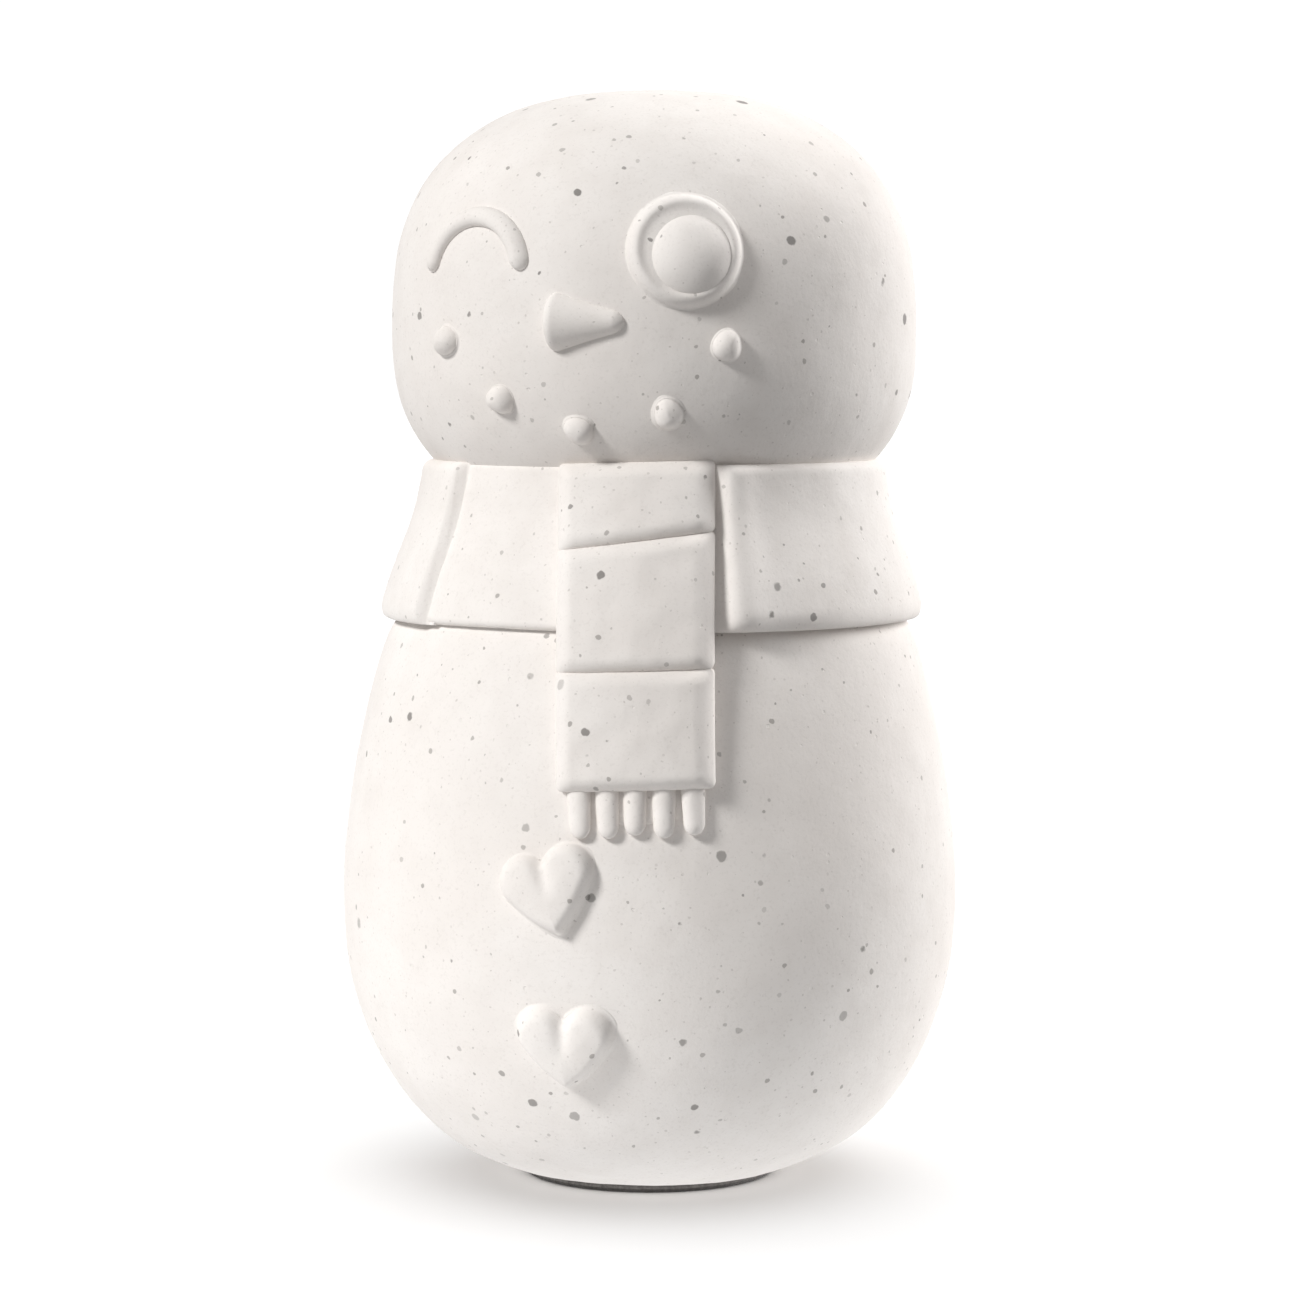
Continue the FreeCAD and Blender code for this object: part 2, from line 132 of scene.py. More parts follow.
def make_piece(name, points, faces, replaces):
    """Closed mesh from points in millimetres, shaded smooth, riding on the figure."""
    points = leaning(points)
    mesh = bpy.data.meshes.new(name)
    mesh.from_pydata((points * MM).tolist(), [], faces)
    mesh.validate()
    shell = bmesh.new()
    shell.from_mesh(mesh)
    bmesh.ops.recalc_face_normals(shell, faces=shell.faces)
    shell.to_mesh(mesh)
    shell.free()
    mesh.polygons.foreach_set("use_smooth", [True] * len(mesh.polygons))
    piece = bpy.data.objects.new(name, mesh)
    bpy.context.scene.collection.objects.link(piece)
    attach(piece, "root")
    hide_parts(*replaces)
    return piece


def skin_faces(rows, cols, first=0):
    """Quads of a grid of rings that close round."""
    faces = []
    for i in range(rows - 1):
        for j in range(cols):
            k = (j + 1) % cols
            a, b = first + i * cols, first + (i + 1) * cols
            faces.append((a + j, a + k, b + k, b + j))
    return faces


def capped_rings(rings, start, end, first=0):
    """Points and faces of stacked rings closed by a centre point at both ends."""
    rows, cols = len(rings), len(rings[0])
    points = [p for ring in rings for p in ring] + [start, end]
    faces = skin_faces(rows, cols, first)
    low, high = first + rows * cols, first + rows * cols + 1
    last = first + (rows - 1) * cols
    for j in range(cols):
        k = (j + 1) % cols
        faces.append((low, first + k, first + j))
        faces.append((high, last + j, last + k))
    return points, faces


def unevenness(points, normals, amount, size, seed):
    """Shift points along their normals by smooth noise, in millimetres."""
    out = np.array(points, float)
    for i, p in enumerate(out):
        q = Vector((p[0] / size + seed, p[1] / size, p[2] / size))
        out[i] += np.asarray(normals[i]) * amount * noise.noise(q)
    return out


# Waves of hand sanding and the coat's bumps over them: height, length and seed of each.
FINISH_WAVES = ((0.16, 17.0, 3.1), (0.07, 6.0, 11.7), (0.025, 1.7, 23.9))


def hand_finish(points, normals):
    """The turned surfaces as sanded and coated by hand."""
    for amount, size, seed in FINISH_WAVES:
        points = unevenness(points, normals, amount, size, seed)
    return points


def ring_normals(profile, angles):
    """Outward normals of a lathe surface given as (radius, height) rows."""
    step = np.gradient(profile, axis=0)
    flat = np.stack([step[:, 1], -step[:, 0]], axis=1)
    flat /= np.linalg.norm(flat, axis=1)[:, None] + 1e-12
    rows = []
    for nr, nz in flat:
        rows.append(np.stack([nr * np.sin(angles), -nr * np.cos(angles),
                              np.full_like(angles, nz)], axis=1))
    return np.concatenate(rows)


def lathe(name, profile, replaces, cols=288):
    """Turned piece from (radius, height) rows running bottom to top."""
    profile = np.array(profile, float)
    angles = np.linspace(0, 2 * math.pi, cols, endpoint=False)
    rings = np.stack([
        np.outer(profile[:, 0], np.sin(angles)), np.outer(-profile[:, 0], np.cos(angles)),
        np.repeat(profile[:, 1:2], cols, axis=1)], axis=2)
    flat = hand_finish(rings.reshape(-1, 3), ring_normals(profile, angles))
    rings = flat.reshape(len(profile), cols, 3)
    points, faces = capped_rings(rings, (0, 0, profile[0, 1]), (0, 0, profile[-1, 1]))
    return make_piece(name, points, faces, replaces)


def even_rows(curve, count):
    """Rows at even spacing along a polyline."""
    curve = np.array(curve, float)
    run = np.concatenate([[0], np.cumsum(np.linalg.norm(np.diff(curve, axis=0), axis=1))])
    at = np.linspace(0, run[-1], count)
    return np.stack([np.interp(at, run, curve[:, 0]), np.interp(at, run, curve[:, 1])], axis=1)


# ---- places on a turned surface ------------------------------------------------------------
DROP_NEAR, DROP_FAR, DROP_STEPS = 6.0, -12.0, 40    # the search for the surface along a normal


class Place:
    """A spot on a turned surface: u runs to the viewer's right, v up the surface, n outward."""

    def __init__(self, radius_at, phi, z, upright=False, turn=0.0):
        self.radius_at = radius_at
        phi, turn = math.radians(phi), math.radians(turn)
        r = float(radius_at(z))
        rise = 0.0 if upright else float(radius_at(z + 0.5) - radius_at(z - 0.5))
        tip = math.atan(-rise)
        out = np.array([math.sin(phi), -math.cos(phi), 0.0])
        side = np.array([math.cos(phi), math.sin(phi), 0.0])
        self.n = out * math.cos(tip) + np.array([0, 0, math.sin(tip)])
        up = np.array([0, 0, math.cos(tip)]) - out * math.sin(tip)
        self.u = side * math.cos(turn) + up * math.sin(turn)
        self.v = up * math.cos(turn) - side * math.sin(turn)
        self.origin = out * r + np.array([0, 0, z])

    def drop(self, uv):
        """Points of the surface behind or in front of flat points, straight along n."""
        flat = self.origin + np.outer(uv[:, 0], self.u) + np.outer(uv[:, 1], self.v)
        near, far = np.full(len(flat), DROP_NEAR), np.full(len(flat), DROP_FAR)
        for _ in range(DROP_STEPS):
            mid = (near + far) / 2
            p = flat + mid[:, None] * self.n
            inside = np.hypot(p[:, 0], p[:, 1]) < self.radius_at(p[:, 2])
            far = np.where(inside, mid, far)
            near = np.where(inside, near, mid)
        return flat + ((near + far) / 2)[:, None] * self.n

    def lift(self, uv, height):
        return self.drop(uv) + np.asarray(height)[:, None] * self.n


def edge_distance(points, outline):
    """Distance of flat points from a closed outline."""
    a, b = outline, np.roll(outline, -1, axis=0)
    ab = b - a
    best = np.full(len(points), 1e9)
    for start, run in zip(a, ab):
        t = np.clip(((points - start) @ run) / (run @ run + 1e-12), 0, 1)
        best = np.minimum(best, np.linalg.norm(points - start - t[:, None] * run, axis=1))
    return best


def outline_normals(outline):
    step = np.roll(outline, -1, axis=0) - np.roll(outline, 1, axis=0)
    out = np.stack([step[:, 1], -step[:, 0]], axis=1)
    return out / (np.linalg.norm(out, axis=1)[:, None] + 1e-12)


def shoulder(distance, height, width):
    """Quarter-round edge that meets a flat top."""
    t = np.clip(distance / width, 0, 1)
    return height * np.sqrt(1 - (1 - t) ** 2)


# Rings from an outline (0) towards its centre (1), closest together where the edge curves.
RING_STEPS = (0.0, 0.006, 0.014, 0.024, 0.036, 0.05, 0.066, 0.084, 0.104, 0.126, 0.15, 0.176, 0.204,
              0.234, 0.266, 0.3, 0.336, 0.374, 0.414, 0.456, 0.5, 0.55, 0.6, 0.66, 0.72, 0.79, 0.86,
              0.93, 0.97)
# Coat gathered round an edge, as rings: distance outside the outline, height above the surface.
COVE = ((0.55, -0.06), (0.32, -0.01), (0.16, 0.07), (0.06, 0.2))
EDGE_LEAST = 0.3        # height of a raised shape at its outline


def relief(place, outline, height_of, depth=1.4, cove=COVE, centre=(0.0, 0.0)):
    """Rings of a raised shape: outline counter-clockwise, height_of(flat points, distance)."""
    centre = np.array(centre, float)
    away = outline_normals(outline)
    rings = [place.lift(outline + away * cove[0][0], np.full(len(outline), -depth))]
    for reach, height in cove:
        rings.append(place.lift(outline + away * reach, np.full(len(outline), height)))
    for step in RING_STEPS:
        flat = centre + (outline - centre) * (1 - step)
        distance = edge_distance(flat, outline) if step else np.zeros(len(flat))
        least = 0 if step else EDGE_LEAST
        rings.append(place.lift(flat, np.maximum(height_of(flat, distance), least)))
    reach = edge_distance(centre[None], outline)
    top = place.lift(centre[None], height_of(centre[None], reach))[0]
    back = place.lift(centre[None], np.array([-depth]))[0]
    return rings, back, top


def relief_piece(name, place, outline, height_of, replaces, **more):
    rings, back, top = relief(place, outline, height_of, **more)
    points, faces = capped_rings(rings, back, top)
    normals = np.repeat(place.n[None], len(points), axis=0)
    points = unevenness(points, normals, 0.06, 2.6, 7.7)
    return make_piece(name, points, faces, replaces)


# ---- outlines, counter-clockwise, millimetres ----------------------------------------------
def circle(radius, count=120, centre=(0.0, 0.0)):
    t = np.linspace(0, 2 * math.pi, count, endpoint=False)
    return np.stack([centre[0] + radius * np.cos(t), centre[1] + radius * np.sin(t)], axis=1)


def resample(outline, count):
    closed = np.vstack([outline, outline[:1]])
    return even_rows(closed, count + 1)[:-1]


def rounded_block(corners, radius, count=200):
    """Four-cornered outline, given counter-clockwise, with round corners."""
    corners = np.array(corners, float)
    points = []
    for i, c in enumerate(corners):
        before, after = corners[i - 1] - c, corners[(i + 1) % 4] - c
        before /= np.linalg.norm(before)
        after /= np.linalg.norm(after)
        for t in np.linspace(0, 1, 9):
            a, b = c + before * radius, c + after * radius
            points.append((1 - t) ** 2 * a + 2 * t * (1 - t) * c + t ** 2 * b)
    return resample(np.array(points), count)


HEART_BOW, HEART_SMOOTHING = 0.35, 14


def heart(width, height, lobe):
    """Two lobes and two gently bowed flanks, the point and the dip softened."""
    x, y = width / 2 - lobe, height / 2 - lobe
    lean = math.atan2(x, y + height / 2)
    reach = math.hypot(x, y + height / 2)
    side = lean + math.asin(lobe / reach)
    arc = np.linspace(-side, math.pi - math.acos(x / lobe), 40)
    right = np.stack([x + lobe * np.cos(arc), y + lobe * np.sin(arc)], axis=1)
    tip = np.array([0.0, -height / 2])
    flank = np.linspace(0, 1, 14)[:-1, None]
    bow = HEART_BOW * np.sin(flank * math.pi)
    run = right[0] - tip
    across = np.array([run[1], -run[0]]) / np.linalg.norm(run)
    right = np.vstack([tip + run * flank + across * bow, right])
    left = right[::-1] * (-1, 1)
    outline = resample(np.vstack([right, left[1:-1]]), 220)
    for _ in range(HEART_SMOOTHING):
        outline = (np.roll(outline, 1, axis=0) + 2 * outline + np.roll(outline, -1, axis=0)) / 4
    return outline


# ---- body, head and pad --------------------------------------------------------------------
def box_mm(node):
    low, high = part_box(node)
    return np.array(low) / MM, np.array(high) / MM


HEM_Z, RIM_Z, HEM_GROOVE = 72.6, 92.4, 0.9
FOOT_R = 17.0
TOP_Z, TOP_OUTER_R, TOP_INNER_R = 72.9, 32.6, 6.0       # the body's flat top, under the scarf


def body_piece():
    foot_z = box_mm("base_pad")[1][2]
    foot = [(r, foot_z + 0.02 * (1 - r / FOOT_R)) for r in np.linspace(0.4, FOOT_R - 1.4, 16)]
    edge = [(FOOT_R - 0.6, foot_z + 0.05), (FOOT_R, foot_z + 0.25)]
    side = even_rows(BODY_CURVE, 190)[3:]
    side[:, 0] -= HEM_GROOVE * np.exp((side[:, 1] - HEM_Z) / 1.3)
    top = [(r, TOP_Z) for r in np.linspace(TOP_OUTER_R, TOP_INNER_R, 10)]
    return lathe("body_coated", foot + edge + [tuple(p) for p in side] + top, ["body"])


def head_piece():
    seat_z = box_mm("head")[0][2]
    t = np.linspace(-math.pi / 2, math.pi / 2, 1200)
    reach = np.where(t > 0, HEAD_UP, HEAD_DOWN)
    power = 2 / HEAD_POWER
    curve = np.stack([HEAD_R * np.cos(t).clip(0) ** power,
                      HEAD_MID_Z + reach * np.sign(t) * np.abs(np.sin(t)) ** power], axis=1)
    curve = curve[(curve[:, 1] > seat_z) & (curve[:, 0] > 0.5)]
    return lathe("head_coated", even_rows(curve, 190), ["head"])


FRAY, FRAY_WAVES = 0.1, 12.0        # depth in millimetres, and how finely it runs round the edge


def pad_piece():
    """Felt disc whose cut edge bulges a little under the foot."""
    radius, _, top = box_mm("base_pad")[1]
    profile = [(r, 0.0) for r in np.linspace(1.0, radius - 0.5, 14)]
    profile += [(radius - 0.2, 0.08), (radius - 0.02, 0.3), (radius, 0.55),
                (radius - 0.08, top - 0.12)]
    profile += [(r, top) for r in np.linspace(radius - 0.3, 1.0, 12)]
    cols = 220
    angles = np.linspace(0, 2 * math.pi, cols, endpoint=False)
    rings = []
    for r, z in profile:
        spots = [Vector((FRAY_WAVES * math.cos(a), FRAY_WAVES * math.sin(a), z)) for a in angles]
        waves = np.array([noise.noise(spot) for spot in spots])
        frayed = r + FRAY * (waves - 1) * (r / radius) ** 8
        rings.append(np.stack([frayed * np.sin(angles), -frayed * np.cos(angles),
                               np.full(cols, z)], axis=1))
    points, faces = capped_rings(rings, (0, 0, 0), (0, 0, top))
    return make_piece("felt_pad", points, faces, ["base_pad"])


# ---- scarf ---------------------------------------------------------------------------------
WRAP_T, WRAP_START, WRAP_END = 1.5, 32.5, 323.5     # thickness, and where it starts and ends
WRAP_SINK = 0.25            # how far the thin ends dip below the first turn
WRAP_BACK = 0.9             # how far the hidden inside lies below the first turn
WRAP_OVER = 0.5             # how far it stands above the first turn's rim
SWELL, SWELL_AT, SWELL_WIDTH = 1.1, 5.6, 4.6        # ridge beside the knot


# Rolled edges of the first turn, as steps in radius and height from the ends of its side.
COLLAR_HEM = ((-6.0, 0.9), (-3.0, 0.6), (-1.9, 0.25), (-1.3, 0.05), (-0.8, 0.08), (-0.4, 0.3),
              (-0.15, 0.75))
COLLAR_LIP = ((-0.05, 0.0), (-0.3, 0.35), (-1.0, 0.5), (-4.0, -1.5))


def collar_piece():
    """First turn: flared ring with a rolled hem and a soft upper lip."""
    side = even_rows(COLLAR_CURVE, 70)
    low, high = side[0], side[-1]
    hem = [low + step for step in COLLAR_HEM]
    lip = [high + step for step in COLLAR_LIP]
    profile = hem + list(side[4:-1]) + lip
    return lathe("scarf_first_turn", profile, ["scarf_collar"])


def wrap_piece():
    """Second turn: a band whose ends slope down softly to the first turn."""
    cols = 300
    span = np.radians(np.linspace(WRAP_START - 4.0, WRAP_END + 1.0, cols))
    z_rows = np.concatenate([HEM_Z + np.array([0, 0.05, 0.16, 0.34, 0.6, 0.95]),
                             np.linspace(HEM_Z + 1.3, HEM_Z + 3.0, 6),
                             np.linspace(HEM_Z + 3.4, RIM_Z - 1.2, 46),
                             RIM_Z + WRAP_OVER - np.array([1.3, 0.9, 0.55, 0.28, 0.1, 0.0])])
    near_hem = shoulder(z_rows - HEM_Z, 1.0, 2.6)
    near_rim = shoulder(RIM_Z + WRAP_OVER - z_rows, 1.0, 1.1)
    run_start = np.degrees(span) - WRAP_START + 0.6
    run_end = WRAP_END + 1.0 - np.degrees(span)

    def slope(run, length):
        t = np.clip(run / length, 0, 1)
        return t * t * (3 - 2 * t)

    rows = []
    for z, hem, rim in zip(z_rows, near_hem, near_rim):
        lean = (z - HEM_Z) / (RIM_Z - HEM_Z)
        start = 0.45 + 0.55 * slope(run_start - 0.8 * lean, 3.0)
        ends = start * slope(run_end + 2.2 * (lean - 1), 2.4)
        ridge = np.exp(-((run_start - SWELL_AT) / SWELL_WIDTH) ** 2) * slope(run_start, 4.0)
        full = WRAP_T + WRAP_SINK + SWELL * ridge
        thick = full * ends * (0.25 + 0.75 * min(hem, rim)) - WRAP_SINK
        r = collar_radius(min(z, RIM_Z)) + thick
        rows.append(np.stack([r * np.sin(span), -r * np.cos(span), np.full(cols, z)], axis=1))
    outer = np.array(rows)
    inner = outer.copy()
    for i, z in enumerate(z_rows):
        r = collar_radius(min(z, RIM_Z)) - WRAP_BACK
        inner[i, :, 0], inner[i, :, 1] = r * np.sin(span), -r * np.cos(span)
    out = np.stack([np.sin(span), -np.cos(span), np.zeros(cols)], axis=1)
    flat = hand_finish(outer.reshape(-1, 3), np.tile(out, (len(z_rows), 1)))
    outer = flat.reshape(outer.shape)
    loop = np.concatenate([outer, inner[::-1]], axis=0)
    rings = [loop[:, j] for j in range(cols)][::-1]
    points, faces = capped_rings(rings, rings[0].mean(axis=0), rings[-1].mean(axis=0))
    return make_piece("scarf_second_turn", points, faces, ["scarf_wrap"])


TAIL_PHI, TAIL_HALF, TAIL_LEAN = 15.4, 9.6, 1.6     # place round the front, half width, tilt
KNOT_TOP, KNOT_LINE, KNOT_SLOPE, SPLIT_Z, END_Z, TASSEL_Z = 93.2, 83.7, 7.0, 68.2, 54.0, 48.3


def soft_edge(distance, width):
    """Nought at the edge, one from that width inwards."""
    return (1 - (1 - np.clip(distance / width, 0, 1)) ** 2) ** 0.8


def side_distances(flat, corners):
    """Distance of flat points from each side of a convex block, counter-clockwise."""
    corners = np.array(corners, float)
    out = []
    for a, b in zip(corners, np.roll(corners, -1, axis=0)):
        run = (b - a) / np.linalg.norm(b - a)
        out.append((flat - a) @ np.array([-run[1], run[0]]))
    return out


PANEL_DROP = 1.7        # from a panel's face to the foot of its round edges
PANEL_BACK = 5.5        # from a panel's face to its hidden back
PANEL_FOLD = 0.12       # height of the slow folds in a panel's face
JOINT_DEPTH = 1.25      # coat fills the joints between panels up to here
JOINT_LAP = 0.05        # how far each panel runs past a joint's middle


def tail_panel(name, node, low_left, low_right, high_left, high_right, seed, open_end):
    """Cushioned block; its corner heights are measured from the panels' joint."""
    corners = [(-TAIL_HALF, low_left - JOINT_LAP), (TAIL_HALF, low_right - JOINT_LAP),
               (TAIL_HALF, high_right + JOINT_LAP), (-TAIL_HALF, high_left + JOINT_LAP)]
    outline = rounded_block(corners, 0.8, 240)
    centre = outline.mean(axis=0)
    place = Place(tail_radius, TAIL_PHI, SPLIT_Z, upright=True, turn=TAIL_LEAN)

    def height(flat, distance):
        low, right, high, left = side_distances(flat, corners)
        across = soft_edge(left, 2.0) * soft_edge(right, 2.5)
        ends = [soft_edge(low, 1.9), soft_edge(high, 1.9)]
        for i, closed in enumerate((open_end != "low", open_end != "high")):
            if closed:
                ends[i] = 1 - (1 - ends[i]) * JOINT_DEPTH / PANEL_DROP
        soft = PANEL_DROP * (across * ends[0] * ends[1] - 1)
        fold = np.array([noise.noise(Vector((x / 5, y / 4, seed))) for x, y in flat])
        return soft + PANEL_FOLD * fold * np.clip(distance / 2, 0, 1)

    away = outline_normals(outline)
    rings = [place.lift(outline, np.full(len(outline), -PANEL_BACK)),
             place.lift(outline + away * 0.02, np.full(len(outline), -3.4)),
             place.lift(outline + away * 0.02, np.full(len(outline), -2.2))]
    for step in RING_STEPS:
        flat = centre + (outline - centre) * (1 - step)
        distance = edge_distance(flat, outline) if step else np.zeros(len(flat))
        rings.append(place.lift(flat, height(flat, distance)))
    middle = centre[None]
    top = place.lift(middle, height(middle, edge_distance(middle, outline)))[0]
    back = place.lift(middle, np.array([-PANEL_BACK]))[0]
    points, faces = capped_rings(rings, back, top)
    normals = np.repeat(place.n[None], len(points), axis=0)
    points = unevenness(points, normals, 0.06, 2.4, seed)
    return make_piece(name, points, faces, [node])


def tail_pieces():
    tilt = math.tan(math.radians(KNOT_SLOPE - TAIL_LEAN)) * TAIL_HALF
    line, top, end = KNOT_LINE - SPLIT_Z, KNOT_TOP - SPLIT_Z, END_Z - SPLIT_Z
    tail_panel("scarf_knot_block", "scarf_knot", line - tilt, line + tilt, top, top, 1.3, "high")
    tail_panel("scarf_end_upper", "scarf_tail_upper", 0, 0, line - tilt, line + tilt, 2.6, "")
    tail_panel("scarf_end_lower", "scarf_tail_lower", end, end, 0, 0, 3.9, "low")


FRINGE_COUNT, FRINGE_W, FRINGE_GAP, FRINGE_INSET = 5, 3.0, 0.45, 1.25
FRINGE_TUCK = 1.2                           # how far the tassels run up behind the lower panel
STRAND_DEEP, STRAND_DEPTH = 1.25, -2.6      # half depth, and height of the middle of a tassel
WEB_DEEP, WEB_DEPTH, WEB_LENGTH = 0.8, -3.35, 0.78      # the coat-filled web behind them


def fringe_piece():
    """Five stubby tassels with blunt tips and the web behind them, from under the lower panel."""
    place = Place(tail_radius, TAIL_PHI, SPLIT_Z, upright=True, turn=TAIL_LEAN)
    pitch = FRINGE_W + FRINGE_GAP
    right = TAIL_HALF - FRINGE_INSET
    left = right - FRINGE_COUNT * pitch + FRINGE_GAP
    all_points, all_faces = [], []
    cols, rows = 40, 34
    strands = []
    for i in range(FRINGE_COUNT):
        strands.append((left + i * pitch + FRINGE_W / 2, FRINGE_W / 2, STRAND_DEEP, STRAND_DEPTH,
                        1.0 + 0.04 * math.sin(2.3 * i + 0.4), 0.16 * math.sin(1.7 * i + 0.8)))
    strands.append(((left + right) / 2, (right - left) / 2 - 1.0, WEB_DEEP, WEB_DEPTH,
                    WEB_LENGTH, 0.0))
    for middle, wide, deep, depth, part, sway in strands:
        length = (END_Z - TASSEL_Z) * part
        rings = []
        for k in range(rows):
            t = k / (rows - 1)
            v = END_Z - SPLIT_Z + FRINGE_TUCK - t * (length + FRINGE_TUCK)
            swell = 1.02 - 0.20 * t
            blunt = math.sqrt(max(0.0, 1 - max(0.0, (t - 0.78) / 0.22) ** 2.2))
            half_w = max(0.04, wide * swell * blunt)
            half_d = max(0.04, deep * swell * blunt)
            ring = []
            for a in np.linspace(0, 2 * math.pi, cols, endpoint=False):
                u = middle + sway * t + half_w * math.cos(a)
                lift = depth + half_d * math.sin(a)
                ring.append((u, v, lift))
            ring = np.array(ring)
            rings.append(place.lift(ring[:, :2], ring[:, 2]))
        first = len(all_points)
        start = np.mean(rings[0], axis=0)
        end = np.mean(rings[-1], axis=0)
        points, faces = capped_rings(rings, start, end, first)
        all_points += [tuple(p) for p in points]
        all_faces += faces
    normals = np.repeat(place.n[None], len(all_points), axis=0)
    all_points = unevenness(all_points, normals, 0.08, 1.6, 4.4)
    return make_piece("scarf_tassels", all_points, all_faces, ["scarf_fringe"])


# ---- face ----------------------------------------------------------------------------------
EYE_PHI, EYE_Z, EYE_R, EYE_H = 24.8, 118.9, 7.0, 1.6
EYE_DISH, EYE_RIM = 0.5, 1.55       # depth of the dish inside the rim, and the rim's width
PUPIL_R, PUPIL_H, PUPIL_X, PUPIL_Y = 5.0, 2.9, 0.9, -0.8
PUPIL_FOOT = EYE_H - 0.55           # where the ball leaves the dish
PUPIL_COVE = ((0.4, 0.8), (0.25, 0.9), (0.14, 0.96), (0.06, 1.0))


def eye_pieces():
    place = Place(head_radius, EYE_PHI, EYE_Z)

    def ring_height(flat, distance):
        rise = shoulder(distance, EYE_H, 1.3)
        dish = EYE_DISH / (1 + np.exp(-(distance - EYE_RIM) / 0.26))
        return rise - dish

    relief_piece("eye_ring", place, circle(EYE_R), ring_height, ["open_eye_disc"])

    def ball(flat, distance):
        t = np.clip(distance / PUPIL_R, 0, 1)
        return PUPIL_FOOT + (PUPIL_H - PUPIL_FOOT) * (1 - (1 - t) ** 2) ** 0.8

    relief_piece("eye_ball", place, circle(PUPIL_R, centre=(PUPIL_X, PUPIL_Y)), ball,
                 ["open_eye_pupil"], centre=(PUPIL_X, PUPIL_Y), cove=PUPIL_COVE)


WINK_PHI, WINK_Z, WINK_W, WINK_H, WINK_BAR, WINK_UP = -23.8, 117.6, 16.8, 6.8, 1.9, 1.3
WINK_SUNK = 0.9         # depth of the bar's hidden half


def wink_piece():
    """Arched bar with a round back, tapering into the face at both ends."""
    place = Place(head_radius, WINK_PHI, WINK_Z)
    mid_x, mid_y = (WINK_W - WINK_BAR) / 2, WINK_H - WINK_BAR / 2
    bow = (mid_x ** 2 + mid_y ** 2) / (2 * mid_y)
    centre_y = mid_y - bow
    half = math.atan2(mid_x, -centre_y)
    overrun = WINK_BAR / 2 / bow
    rings = []
    cols = 36
    for s in np.linspace(-1, 1, 150):
        angle = s * (half + overrun)
        left = (1 - abs(s)) * (half + overrun) * bow
        end = math.sqrt(max(0.0, 1 - (1 - min(1, left / (WINK_BAR * 0.8))) ** 2))
        width = WINK_BAR * (0.66 * max(0.05, end))
        height = 0.85 * WINK_UP * max(0.06, end)
        ring = []
        for a in np.linspace(0, 2 * math.pi, cols, endpoint=False):
            across = width * math.cos(a)
            up = (height if math.sin(a) > 0 else WINK_SUNK) * math.sin(a)
            reach = bow + across
            ring.append((reach * math.sin(angle), centre_y + reach * math.cos(angle), up))
        ring = np.array(ring)
        rings.append(place.lift(ring[:, :2], ring[:, 2]))
    rings = rings[::-1]
    points, faces = capped_rings(rings, rings[0].mean(axis=0), rings[-1].mean(axis=0))
    return make_piece("wink_arch", points, faces, ["wink_eye"])


NOSE_PHI, NOSE_Z, NOSE_L, NOSE_R, NOSE_TIP_R = 4.3, 110.3, 9.6, 4.1, 1.0
NOSE_BUTT_L, NOSE_TIP_L = 1.44, 1.3         # how long the rounding runs at each end
NOSE_SUNK, NOSE_RISE = 0.8, 7.0             # how deep it lies, and how far its tip lifts


def nose_piece():
    """Carrot lying on the face, with a blunt thick end."""
    place = Place(head_radius, NOSE_PHI, NOSE_Z)
    rise = math.radians(NOSE_RISE)
    axis = place.u * math.cos(rise) + place.n * math.sin(rise)
    out = place.n * math.cos(rise) - place.u * math.sin(rise)
    start = place.origin - place.n * NOSE_SUNK - axis * NOSE_L / 2
    rows, cols = 90, 96
    rings = []
    for k in range(rows):
        t = (1 - math.cos(math.pi * (k + 0.5) / rows)) / 2
        x = t * NOSE_L
        cone = NOSE_R + (NOSE_TIP_R - NOSE_R) * x / NOSE_L
        butt = math.sqrt(max(0.0, 1 - (1 - min(1, x / NOSE_BUTT_L)) ** 2))
        tip = math.sqrt(max(0.0, 1 - (1 - min(1, (NOSE_L - x) / NOSE_TIP_L)) ** 2))
        r = cone * (0.55 + 0.45 * butt) * tip
        ring = []
        for a in np.linspace(0, 2 * math.pi, cols, endpoint=False):
            ring.append(start + axis * x + r * (math.cos(a) * out + math.sin(a) * place.v))
        rings.append(np.array(ring))
    points, faces = capped_rings(rings[::-1], rings[-1].mean(axis=0), rings[0].mean(axis=0))
    return make_piece("carrot_nose", points, faces, ["nose"])


COAL_R, COAL_UP = 1.9, 1.75
COAL_COVE = ((0.4, -0.05), (0.22, 0.0), (0.1, 0.08), (0.03, 0.2))
COALS = ((-30.7, 108.0), (-16.2, 100.9), (1.6, 97.2), (21.5, 99.2), (33.4, 107.4))


def coal_pieces():
    """Pebbles of the smile, each a little different."""
    for i, (phi, z) in enumerate(COALS, 1):
        place = Place(head_radius, phi, z)
        t = np.linspace(0, 2 * math.pi, 64, endpoint=False)
        lumps = 1 + 0.05 * np.sin(2 * t + i) + 0.04 * np.sin(3 * t + 2.1 * i)
        outline = np.stack([COAL_R * lumps * np.cos(t), COAL_R * lumps * np.sin(t)], axis=1)

        def pebble(flat, distance):
            s = np.clip(distance / COAL_R, 0, 1)
            return COAL_UP * np.sqrt(1 - (1 - s) ** 2)

        relief_piece(f"smile_pebble_{i}", place, outline, pebble, [f"mouth_coal_{i}"],
                     cove=COAL_COVE)


# ---- hearts --------------------------------------------------------------------------------
HEART_W, HEART_H, HEART_LOBE, HEART_UP = 12.3, 10.8, 3.3, 2.4
HEART_CROWN, HEART_CREASE = 0.6, 0.55       # how far the top swells, and the dip between the lobes
HEARTS = (("upper", 1.0, 41.4, 16.0), ("lower", 3.0, 22.2, 0.0))


